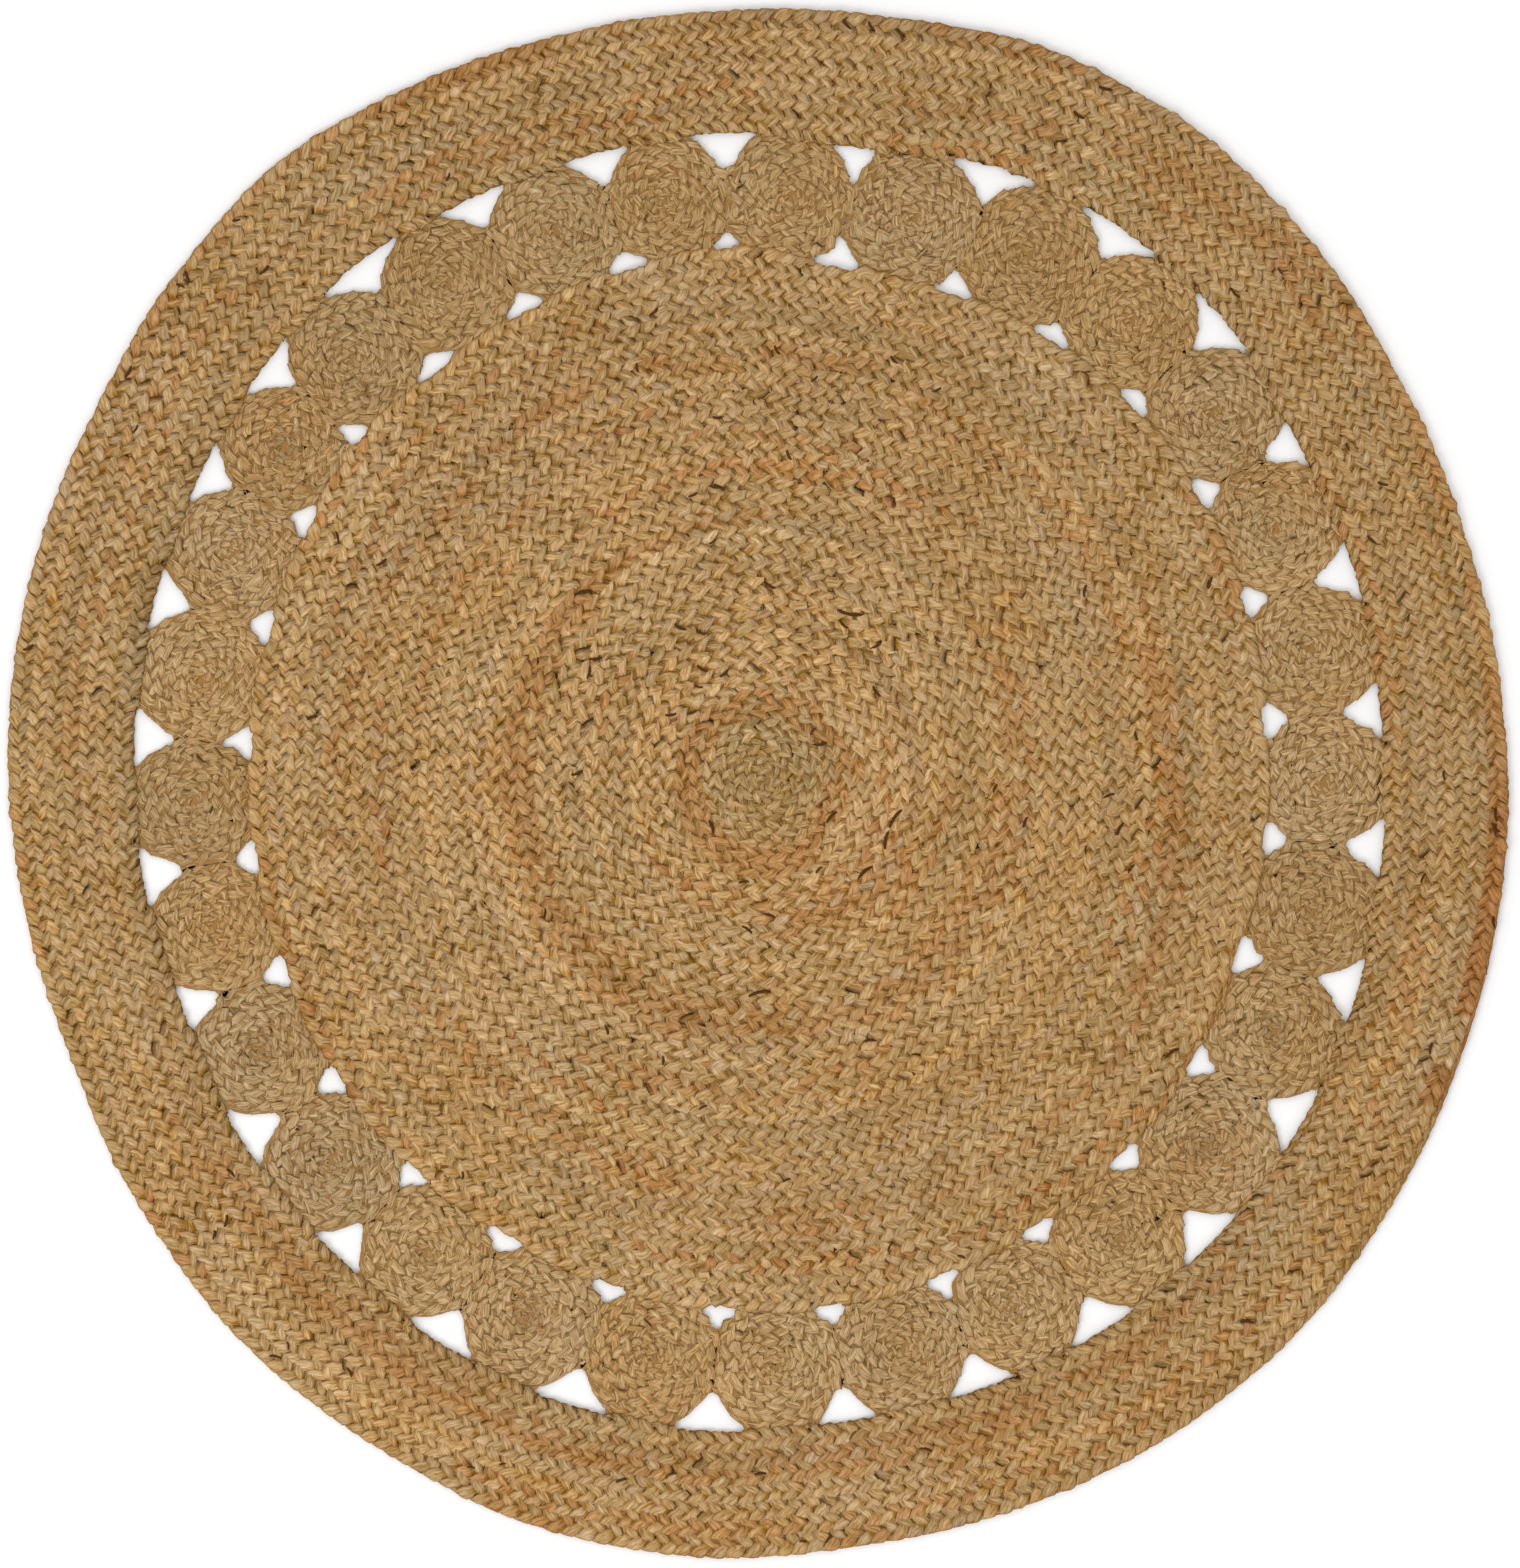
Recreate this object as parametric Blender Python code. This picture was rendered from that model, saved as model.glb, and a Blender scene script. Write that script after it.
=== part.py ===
"""Round jute rug: a braid coiled into a disc, a ring of small coiled medallions and a braided outer band."""

from collections import namedtuple
from math import ceil, cos, floor, radians, sin

import bmesh
import bpy
from mathutils import Vector
from mathutils.geometry import intersect_line_sphere_2d

MM = 0.001

# The braids. A coil's braid starts at its eye; the band's starts along its inner edge.
Braid = namedtuple("Braid", "turns coarse_turns thick furrow step_share")
DISC_BRAID = Braid(turns=33, coarse_turns=23, thick=0.009, furrow=0.0025, step_share=0.2)
BAND_BRAID = Braid(turns=7, coarse_turns=0, thick=0.009, furrow=0.0025, step_share=0.2)
FINE_BRAID = Braid(turns=6, coarse_turns=4, thick=0.0065, furrow=0.0015, step_share=1.0)

RIM_SHARE = 0.5  # height of a piece's widest line over its thickness
ROLL_UNDER = 0.002  # how far the flat underside ends inside the widest line
SEWN_GAP = 0.0002  # from a piece's edge to the line that it shares with its neighbour
DISC_EYE = Vector((0.008, 0.001))  # the disc's first turn, off the middle of the ring

# A medallion is coiled round, then pressed into its place between disc, band and neighbours.
COIL_OVER_PLACE = 1.106  # its own diameter over the mean side of its place
SEAT_SHARE = 0.48  # its eye's place on the way from the disc to the band
EYE_DRIFT = 0.06  # how far the eye slips along the ring, over the medallion's radius

# One row for each seam between two medallions, anticlockwise: its bearing where it meets the disc
# and the band, and how far the disc, the band's inner edge and the rug's rim lie from the middle there.
Seam = namedtuple("Seam", "disc_deg band_deg disc_mm band_mm rim_mm")
SEAMS = [
    Seam(6.5, 6, 505, 623, 746),
    Seam(20, 19, 514, 628, 746),
    Seam(33, 32, 520, 633, 754),
    Seam(45, 45, 525, 651, 770),
    Seam(57, 56.5, 524, 657, 782),
    Seam(69.5, 68, 519, 655, 784),
    Seam(82.5, 80, 516, 637, 772),
    Seam(94, 93, 530, 645, 768),
    Seam(104.5, 105, 524, 645, 769),
    Seam(117, 116.5, 521, 647, 775),
    Seam(128.5, 128, 519, 653, 782),
    Seam(141, 139, 524, 645, 772),
    Seam(151.5, 150.5, 515, 637, 761),
    Seam(163.5, 163, 511, 631, 757),
    Seam(177, 175.5, 509, 627, 754),
    Seam(189, 189, 509, 625, 748),
    Seam(202, 202, 510, 621, 744),
    Seam(215.5, 215, 516, 632, 755),
    Seam(229, 228.5, 521, 638, 767),
    Seam(241, 240.5, 522, 649, 772),
    Seam(253.5, 253, 528, 655, 782),
    Seam(266, 265, 531, 655, 782),
    Seam(277.5, 277.5, 532, 649, 775),
    Seam(290.5, 289.5, 528, 649, 775),
    Seam(302, 301.5, 525, 649, 776),
    Seam(314, 314, 521, 645, 773),
    Seam(327.5, 327, 516, 640, 763),
    Seam(340.5, 339.5, 509, 633, 756),
    Seam(353.5, 353, 508, 626, 751),
]

# Base colours of the jute, linear RGB
STRAW = (0.400, 0.270, 0.105)
DULL_STRAW = (0.370, 0.262, 0.120)


def clear_scene():
    for thing in list(bpy.data.objects):
        bpy.data.objects.remove(thing, do_unlink=True)


def jute(name, colour):
    material = bpy.data.materials.new(name)
    material.use_nodes = True
    shader = material.node_tree.nodes["Principled BSDF"]
    shader.inputs["Base Color"].default_value = (*colour, 1.0)
    shader.inputs["Roughness"].default_value = 0.85
    shader.inputs["Metallic"].default_value = 0.0
    return material


def at_bearing(degrees, millimetres):
    angle = radians(degrees)
    return Vector((cos(angle), sin(angle))) * millimetres * MM


def edge_of_ring(bearing, distance):
    """Points round one edge of the ring: one at each seam, and one midway to the next."""
    points = []
    for seam, following in zip(SEAMS, SEAMS[1:] + SEAMS[:1]):
        start = getattr(seam, bearing)
        sweep = (getattr(following, bearing) - start) % 360
        here = getattr(seam, distance)
        there = getattr(following, distance)
        points.append(at_bearing(start, here))
        points.append(at_bearing(start + sweep / 2, (here + there) / 2))
    return points


def drawn_towards(point, target, amount):
    return point + (target - point).normalized() * amount


def share_across(turn, braid, from_eye):
    """How far across its piece, from 0 to 1, the braid's inner edge lies after so many turns.

    Near an eye it spirals evenly. Further out each turn runs level and steps out by a row near its end.
    """
    whole = floor(turn)
    part = turn - whole
    late = min(1, max(0, 1 - (1 - part) / braid.step_share))
    stepped = late * late * (3 - 2 * late)
    levelling = turn / braid.turns if from_eye else 1
    moved = whole + part + (stepped - part) * min(1, levelling)
    return min(1, max(0, moved / braid.turns))


class LaidBraid:
    """The upper surface of one braid, laid turn on turn between a piece's inner and outer edges.

    Each row is a ridge: a crest along its middle, and a furrow on each side that it shares with
    the next row. Steps count the edge's points along the braid.
    """

    def __init__(self, braid, inner, outer, from_eye):
        self.braid = braid
        self.inner = inner
        self.outer = outer
        self.from_eye = from_eye
        self.round = len(outer)
        self.last = braid.turns * self.round
        self.mesh = bmesh.new()
        self.made = {}

    def share(self, step):
        return share_across(step / self.round, self.braid, self.from_eye)

    def place(self, step):
        column = step % self.round
        return self.inner[column].lerp(self.outer[column], self.share(step))

    def vertex(self, key, flat, height):
        if key not in self.made:
            self.made[key] = self.mesh.verts.new((*flat, height))
        return self.made[key]

    def edge(self, step):
        """The inner edge of the row at a step, which is the outer edge of the row one turn before."""
        thick = self.braid.thick
        column = step % self.round
        share = self.share(step)
        if share == 1:
            return self.vertex(("outer", column), self.outer[column], thick * RIM_SHARE)
        if share == 0 and not self.from_eye:
            return self.vertex(("inner", column), self.inner[column], thick * RIM_SHARE)
        return self.vertex(("furrow", step), self.place(step), thick - self.braid.furrow)

    def crest(self, step):
        if self.share(step) == self.share(step + self.round):
            return self.edge(step)
        flat = (self.place(step) + self.place(step + self.round)) / 2
        return self.vertex(("crest", step), flat, self.braid.thick)

    def steps(self):
        """Every other step in the first turns, which are small, and every step after them."""
        first = 0 if self.from_eye else -ceil(self.round * self.braid.step_share)
        change = first + self.braid.coarse_turns * self.round
        return [*range(first, change, 2), *range(change, self.last + 1)]

    def face(self, corners):
        distinct = list(dict.fromkeys(corners))
        if len(distinct) > 2:
            self.mesh.faces.new(distinct)

    def lay(self):
        steps = self.steps()
        taken = set(steps)
        for here, ahead in zip(steps, steps[1:]):
            self.face([self.edge(here), self.edge(ahead), self.crest(ahead), self.crest(here)])
            beyond = range(ahead + self.round, here + self.round - 1, -1)
            side = [self.edge(step) for step in beyond if step in taken or step >= self.last]
            self.face([self.crest(here), self.crest(ahead), *side])
        if self.from_eye:
            self.close_eye([step for step in steps if step <= self.round])
        return self.mesh

    def close_eye(self, first_turn):
        eye = self.edge(0)
        for here, ahead in zip(first_turn[1:], first_turn[2:]):
            self.face([eye, self.edge(here), self.edge(ahead)])
        self.face([eye, self.edge(self.round), self.crest(0)])


def close_below(mesh, middle, mean_radius):
    """Roll each rim under to the floor and close the flat underside."""
    rims = [edge for edge in mesh.edges if edge.is_boundary]
    lower = bmesh.ops.extrude_edge_only(mesh, edges=rims)["geom"]
    for vertex in (item for item in lower if isinstance(item, bmesh.types.BMVert)):
        flat = vertex.co.xy
        outward = (flat - middle).length > mean_radius
        flat = drawn_towards(flat, middle, ROLL_UNDER if outward else -ROLL_UNDER)
        vertex.co = (*flat, 0)
    floor_edges = [item for item in lower if isinstance(item, bmesh.types.BMEdge)]
    if mean_radius:
        bmesh.ops.bridge_loops(mesh, edges=floor_edges)
    else:
        bmesh.ops.holes_fill(mesh, edges=floor_edges, sides=0)


def finish(name, mesh, place, material):
    """Make the object, with its own place as its origin."""
    bmesh.ops.translate(mesh, verts=mesh.verts, vec=(-place.x, -place.y, 0))
    bmesh.ops.triangulate(mesh, faces=mesh.faces)
    bmesh.ops.recalc_face_normals(mesh, faces=mesh.faces)
    data = bpy.data.meshes.new(name)
    mesh.to_mesh(data)
    mesh.free()
    data.materials.append(material)
    thing = bpy.data.objects.new(name, data)
    thing.location = (place.x, place.y, 0)
    bpy.context.scene.collection.objects.link(thing)
    return thing


def coil(name, braid, eye, outline, material):
    """A braid coiled from its eye out to the outline, with a flat underside."""
    mesh = LaidBraid(braid, [eye] * len(outline), outline, from_eye=True).lay()
    close_below(mesh, eye, 0)
    return finish(name, mesh, eye, material)


def centre_disc(disc_edge, middle, material):
    outline = [drawn_towards(point, middle, SEWN_GAP) for point in disc_edge]
    return coil("centre_disc", DISC_BRAID, middle + DISC_EYE, outline, material)


def outer_band(band_edge, rim, middle, material):
    inner = [drawn_towards(point, middle, -SEWN_GAP) for point in band_edge]
    mesh = LaidBraid(BAND_BRAID, inner, rim, from_eye=False).lay()
    mean_radius = ((inner[0] + rim[0]) / 2 - middle).length
    close_below(mesh, middle, mean_radius)
    return finish("outer_band", mesh, middle, material)


def where_round_meets(middle, radius, outside, inside):
    """The point on the way from outside to inside at which a circle is entered."""
    crossings = intersect_line_sphere_2d(outside, inside, middle, radius, True)
    return next(point for point in crossings if point is not None)


def pressed_round(eye, radius, sides):
    """A circle pressed flat on the sides of its place. Each side is a corner, its middle and the next corner."""
    flats = []
    for corner, rest, next_corner in sides:
        start = where_round_meets(eye, radius, corner, rest)
        end = where_round_meets(eye, radius, next_corner, rest)
        flats.append((start, rest, end))
    outline = []
    for flat, next_flat in zip(flats, flats[1:] + flats[:1]):
        outward = (flat[2] - eye) + (next_flat[0] - eye)
        outline += [*flat, eye + outward.normalized() * radius]
    return outline


def medallion(number, disc_edge, band_edge, material):
    """The coil between one seam and the next. Even points of the edges lie at the seams."""
    before = 2 * (number - 1)
    between = before + 1
    after = (before + 2) % len(disc_edge)
    disc_before, disc_rest, disc_after = (disc_edge[i] for i in (before, between, after))
    band_before, band_rest, band_after = (band_edge[i] for i in (before, between, after))
    seam_before = (disc_before + band_before) / 2
    seam_after = (disc_after + band_after) / 2
    sides = [
        (disc_after, disc_rest, disc_before),
        (disc_before, seam_before, band_before),
        (band_before, band_rest, band_after),
        (band_after, seam_after, disc_after),
    ]
    middle = disc_rest.lerp(band_rest, SEAT_SHARE)
    across = (band_rest - disc_rest).length
    along = (seam_after - seam_before).length
    radius = COIL_OVER_PLACE * (across + along) / 4
    outline = pressed_round(middle, radius, sides)
    outline = [drawn_towards(point, middle, SEWN_GAP) for point in outline]
    slip = EYE_DRIFT * sin(number * number)
    eye = middle + (seam_after - seam_before).normalized() * radius * slip
    return coil(f"medallion_{number:02d}", FINE_BRAID, eye, outline, material)


def middle_of(outline):
    """The middle of an outline's extent, which goes to the origin."""
    xs = [point.x for point in outline]
    ys = [point.y for point in outline]
    return Vector(((min(xs) + max(xs)) / 2, (min(ys) + max(ys)) / 2))


def main():
    clear_scene()
    straw = jute("straw_jute", STRAW)
    fine_straw = jute("fine_straw_jute", DULL_STRAW)

    rim = edge_of_ring("band_deg", "rim_mm")
    middle = -middle_of(rim)
    rim = [middle + point for point in rim]
    band_edge = [middle + point for point in edge_of_ring("band_deg", "band_mm")]
    disc_edge = [middle + point for point in edge_of_ring("disc_deg", "disc_mm")]

    centre_disc(disc_edge, middle, straw)
    for number in range(1, len(SEAMS) + 1):
        medallion(number, disc_edge, band_edge, fine_straw)
    outer_band(band_edge, rim, middle, straw)


main()
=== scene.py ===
"""The round jute rug on a pale floor, with every strand of its braids and all its browns."""

from collections import namedtuple

import bmesh
import bpy
import numpy as np
from mathutils import Matrix, Vector


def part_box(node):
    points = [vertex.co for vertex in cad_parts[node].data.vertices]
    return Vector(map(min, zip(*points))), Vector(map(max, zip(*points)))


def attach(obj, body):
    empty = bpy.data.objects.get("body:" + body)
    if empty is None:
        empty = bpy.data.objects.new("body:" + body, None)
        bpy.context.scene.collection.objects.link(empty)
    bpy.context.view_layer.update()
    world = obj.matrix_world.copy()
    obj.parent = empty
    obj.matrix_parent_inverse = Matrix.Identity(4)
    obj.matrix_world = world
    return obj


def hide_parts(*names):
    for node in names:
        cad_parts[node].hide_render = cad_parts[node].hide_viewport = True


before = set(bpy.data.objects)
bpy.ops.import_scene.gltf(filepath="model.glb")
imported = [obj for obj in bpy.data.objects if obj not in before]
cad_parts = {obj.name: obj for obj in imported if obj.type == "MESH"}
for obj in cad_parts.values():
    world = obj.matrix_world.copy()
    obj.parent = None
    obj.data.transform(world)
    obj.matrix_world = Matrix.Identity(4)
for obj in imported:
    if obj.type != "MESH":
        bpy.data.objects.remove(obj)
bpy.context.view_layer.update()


# --- The centre disc -----------------------------------------------------------------------------
# One flat braid of three jute strands, coiled from its eye out and sewn edge to edge with hidden
# thread. Its first turns are narrower and greyer, and rusty bundles lie in arcs along its rows.

MM = 0.001
DISC_ROWS = 33
DISC_TURNS = (-0.7, DISC_ROWS - 0.03)  # where the braid starts and ends, counted in turns
DISC_EYE = complex(6, -1) * MM  # off the middle of the disc
STEP_SHARE = 0.2  # the last part of each turn, in which the braid steps out by a row
PATH_POINTS = 1800  # a turn
EDGE_POINTS = 1856  # on the smooth edge that a coarse braid is laid to
MEDALLIONS = 29
MEDALLION_POINTS = 256  # on a medallion's smooth edge, to find the gaps
USUAL_ROW_WIDE = 16.9 * MM

# The width of a row, the length of the braid's repeat and the shade, each after the millimetres
# out from the eye at which it is so.
ROW_WIDTHS = [
    (0, 9), (25, 12), (90, 15.2), (160, 15.4),
    (245, 17.4), (335, 16.4), (425, 17.2), (520, 17.2),
]
DISC_REPEATS = [(0, 34), (25, 46), (65, 60), (290, 58), (330, 51), (400, 49), (520, 49)]
DISC_SHADES = [
    (0, 0.96), (25, 0.98), (50, 1.04), (65, 1.03), (95, 1.05),
    (300, 1.03), (350, 0.98), (450, 0.97), (520, 1.0),
]
GREEN_EYE = (1.0, 1.05, 1.08)
GREEN_EYE_ENDS_MM = (52, 68)

# How far the edge lies beyond the CAD piece's own where it is sewn on, and inside it at a gap.
SEWN_OVERLAP = 1.0 * MM
GAP_INSET = 3.0 * MM

# Where a row is narrow, its strands are smaller too, down to these shares of their usual size.
STRAND_SIZES = (0.3, 1.15)
STRAND_THICKNESSES = (0.6, 1)
STRAND_RISES = (0.5, 1)

# How uneven a braid made by hand is: standard deviations, as shares where they name no unit.
UNEVEN_REPEAT = 0.07
UNEVEN_REPEAT_SPACING = 50 * MM
UNEVEN_SLIP = 0.03
UNEVEN_REACH = 0.05
UNEVEN_WIDE = 0.08
UNEVEN_HEIGHT = 0.25 * MM
UNEVEN_TURN_DEG = 9
UNEVEN_PAINTED_SHADE = 0.5
UNEVEN_LOZENGE = 0.04
UNEVEN_BUNDLE = 0.05
UNEVEN_SHADES = [(0.035, 900 * MM), (0.03, 150 * MM)]  # with their spacing along the braid

# Feet and the floor press a braid flatter within so much of its top and underside.
TRODDEN_TOP = 1.0 * MM
TRODDEN_TOP_LEFT = 0.45
TRODDEN_UNDER = 0.8 * MM
TRODDEN_UNDER_LEFT = 0.4

Plait = namedtuple("Plait", "strand_wide strand_thick overlap tilt section passes")
Ring = namedtuple("Ring", "degrees out height turned wide")

# Half a repeat of one strand: from the middle of the braid it runs out to one edge below the
# others, folds up over the edge with its flat side turned, and comes back on top.
COARSE_PASS = [
    Ring(degrees=0, out=0.00, height=0.40, turned=180, wide=0.90),
    Ring(degrees=45, out=0.58, height=-1, turned=180, wide=1.00),
    Ring(degrees=84, out=0.98, height=-0.1, turned=105, wide=0.75),
    Ring(degrees=102, out=0.93, height=0.75, turned=35, wide=0.95),
    Ring(degrees=128, out=0.68, height=1, turned=0, wide=1.05),
    Ring(degrees=158, out=0.38, height=1, turned=0, wide=1.05),
]
FIVE_SIDES = [(-1, 0.1), (-0.6, 0.85), (0.6, 0.85), (1, 0.1), (0, -1.6)]
COARSE_PLAIT = Plait(
    strand_wide=13.0 * MM,
    strand_thick=4.6 * MM,
    overlap=2.8 * MM,
    tilt=8,
    section=FIVE_SIDES,
    passes=COARSE_PASS,
)

# The browns of jute, over its usual straw brown.
STRAW = (1.00, 1.00, 1.00)
RUST = (0.95, 0.82, 0.71)
RED_RUST = (0.86, 0.65, 0.51)
MAUVE = (0.98, 0.98, 1.09)
GREEN_GREY = (0.92, 0.95, 0.93)
PALE = (1.07, 1.08, 1.12)
BUNDLE_KINDS = [(STRAW, 0.79), (MAUVE, 0.06), (GREEN_GREY, 0.08), (PALE, 0.07)]  # and shares
BUNDLE_LONG = (60 * MM, 350 * MM)
USUAL_BUNDLE_LONG = 200 * MM
WARMER = (0.008, -0.010, -0.055)  # how a warmer bundle differs, as powers of e
RED_RUST_POWER = 40  # red rust shows only where nearly all the strands are rusty
STRAY_RUST_SHARE = 0.05

# Painted light and shade: a strand is painted light on top and dark low down, where it goes under
# the next, and at its sides.
PAINTED_LIGHT_FROM = 0.4  # of the braid's height
PAINTED_LIGHT_OVER = 0.55  # of that height, over which the painted shade turns to painted light
UNDERPASS_REACH = 0.35  # of the way out to the edge
UNDERPASS_PAINTED_LIGHT = 0.4
SIDE_FROM = 0.6  # of the strand's half width
SIDE_PAINTED_LIGHT = 0.8
PAINTED_SHADE_POWER = 0.74  # how far the painted shade at a lozenge's ends reaches up it, on average
SLIT_SHADOW_SHARE = 0.055  # of the lozenges with a painted shadow slit along one side, where it would stand off from the next one
SLIT_SHADOW_LIGHT = (0.02, 0.4)
SLIT_SHADOW_BROWN = (1, 1.2, 1.9)

# Where rusty bundles lie: from and to which bearing in degrees, how many millimetres out from the
# eye at each, how wide the stretch is, and what share of its strands is rusty.
Rusty = namedtuple("Rusty", "from_deg to_deg from_mm to_mm wide_mm share")
DISC_RUST = [
    Rusty(0, 275, 79, 79, 27, 0.93),
    Rusty(275, 360, 79, 72, 27, 0.93),
    Rusty(265, 340, 125, 155, 50, 0.45),
    Rusty(5, 40, 240, 240, 60, 0.50),
    Rusty(90, 125, 258, 258, 18, 0.40),
    Rusty(120, 205, 257, 257, 24, 0.75),
    Rusty(150, 200, 242, 240, 24, 0.40),
    Rusty(210, 360, 246, 235, 44, 0.70),
    Rusty(245, 320, 312, 312, 16, 0.40),
    Rusty(45, 105, 335, 345, 16, 0.35),
    Rusty(130, 170, 357, 357, 16, 0.50),
    Rusty(210, 260, 380, 410, 60, 0.35),
    Rusty(20, 70, 390, 420, 50, 0.40),
    Rusty(75, 155, 425, 422, 16, 0.85),
    Rusty(155, 190, 428, 432, 16, 0.50),
    Rusty(270, 330, 445, 437, 22, 0.55),
    Rusty(330, 360, 428, 408, 22, 0.80),
    Rusty(0, 20, 408, 402, 22, 0.60),
]
# One row of paler jute goes round the disc, and its middle lies to the left of the eye.
PALE_ROW = 1.08
PALE_ROW_RADIUS_MM = 328
PALE_ROW_OFF_MM = 14
PALE_ROW_OFF_DEG = 195
PALE_ROW_FADES_MM = (4, 9)  # off its middle


def widest_line(node):
    """The edge of a CAD piece at half its height, as complex numbers in order of bearing."""
    corners = np.array([v.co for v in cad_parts[node].data.vertices]).round(5)
    corners = np.unique(corners, axis=0)
    half_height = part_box(node)[1].z / 2
    edge = corners[abs(corners[:, 2] - half_height) < MM / 10]
    points = edge[:, 0] + 1j * edge[:, 1]
    return points[np.argsort(np.angle(points - points.mean()) % (2 * np.pi))]


def cross_steps(outline):
    """Twice the area between each step of an outline and the middle of the rug."""
    following = np.roll(outline, -1)
    return outline.real * following.imag - following.real * outline.imag


def area_inside(outline):
    return abs(np.sum(cross_steps(outline))) / 2


def middle_of(outline):
    """The centre of the area inside an outline."""
    steps = cross_steps(outline)
    return np.sum((outline + np.roll(outline, -1)) * steps) / (3 * np.sum(steps))


def smooth_line(outline, points):
    """The closed outline as a smooth one with many more points."""
    waves = np.fft.fft(outline)
    half = len(outline) // 2
    more_waves = np.zeros(points, complex)
    more_waves[:half] = waves[:half]
    more_waves[-half:] = waves[-half:]
    return np.fft.ifft(more_waves) * points / len(outline)


def moved_out(outline, amount):
    """The outline, moved away from its middle."""
    from_middle = outline - middle_of(outline)
    return outline + from_middle / abs(from_middle) * amount


def set_in(outline, others, sewn, free, reach=(1.2 * MM, 3.0 * MM)):
    """The outline moved out by one amount where it is sewn on, and by another at a gap."""
    gap = np.array([abs(others - point).min() for point in outline])
    return moved_out(outline, np.interp(gap, reach, (sewn, free)))


def smooth_noise(length, spacing, rng):
    """A random number about 0 for each millimetre of a length, changing smoothly."""
    knots = rng.standard_normal(int(length / spacing) + 4)
    where = np.arange(int(length / MM) + 2) * MM / spacing
    knot = where.astype(int)
    part = where - knot
    part = part * part * (3 - 2 * part)
    return knots[knot] * (1 - part) + knots[knot + 1] * part


def stepped(turn, share):
    """The same count of turns, but each runs level and steps out by a row in its last part."""
    done = turn % 1
    late = np.clip(1 - (1 - done) / share, 0, 1)
    return turn - done + late * late * (3 - 2 * late)


class LaidBraid:
    """A flat braid laid round and round between two edges.

    share_at says how far across its inner side has come, and repeat_at how long its repeat is.
    """

    def __init__(self, inner, outer, share_at, turns, usual_wide, repeat_at, rng):
        turn = np.linspace(*turns, int((turns[1] - turns[0]) * PATH_POINTS))
        column = (turn % 1) * len(outer)
        before = column.astype(int) % len(outer)
        after = (before + 1) % len(outer)
        part = column - column.astype(int)
        inside = inner[before] * (1 - part) + inner[after] * part
        outside = outer[before] * (1 - part) + outer[after] * part
        self.line = inside + (outside - inside) * (share_at(turn) + share_at(turn + 1)) / 2
        self.width = abs(outside - inside) * (share_at(turn + 1) - share_at(turn))
        self.run = np.concatenate([[0], np.cumsum(abs(np.diff(self.line)))])
        self.usual_wide = usual_wide
        length = self.run[-1]
        noise = smooth_noise(length, UNEVEN_REPEAT_SPACING, rng)
        uneven = 1 + UNEVEN_REPEAT * self.sampled(noise)
        steps = np.diff(self.run) / (repeat_at(self.line) * uneven)[1:]
        self.repeats = np.concatenate([[0], np.cumsum(steps)])
        self.shade = 1
        for amount, spacing in UNEVEN_SHADES:
            self.shade = self.shade + amount * smooth_noise(length, spacing, rng)

    def sampled(self, values):
        """Values given for each millimetre of the run, at each point of the line."""
        return np.interp(self.run, np.arange(len(values)) * MM, values)

    def place(self, along):
        """The point of the line so far along its run."""
        x, y = (np.interp(along, self.run, part) for part in (self.line.real, self.line.imag))
        return x + 1j * y

    def outward(self, along):
        """The direction across the braid, away from its eye."""
        ahead = self.place(along + MM) - self.place(along - MM)
        return -1j * ahead / abs(ahead)


def trodden(level, height):
    """Heights in a braid pressed between the floor and the feet on it."""
    high = height - TRODDEN_TOP
    low = TRODDEN_UNDER
    level = np.where(level > high, high + (level - high) * TRODDEN_TOP_LEFT, level)
    return np.maximum(np.where(level < low, low + (level - low) * TRODDEN_UNDER_LEFT, level), 0)


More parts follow.
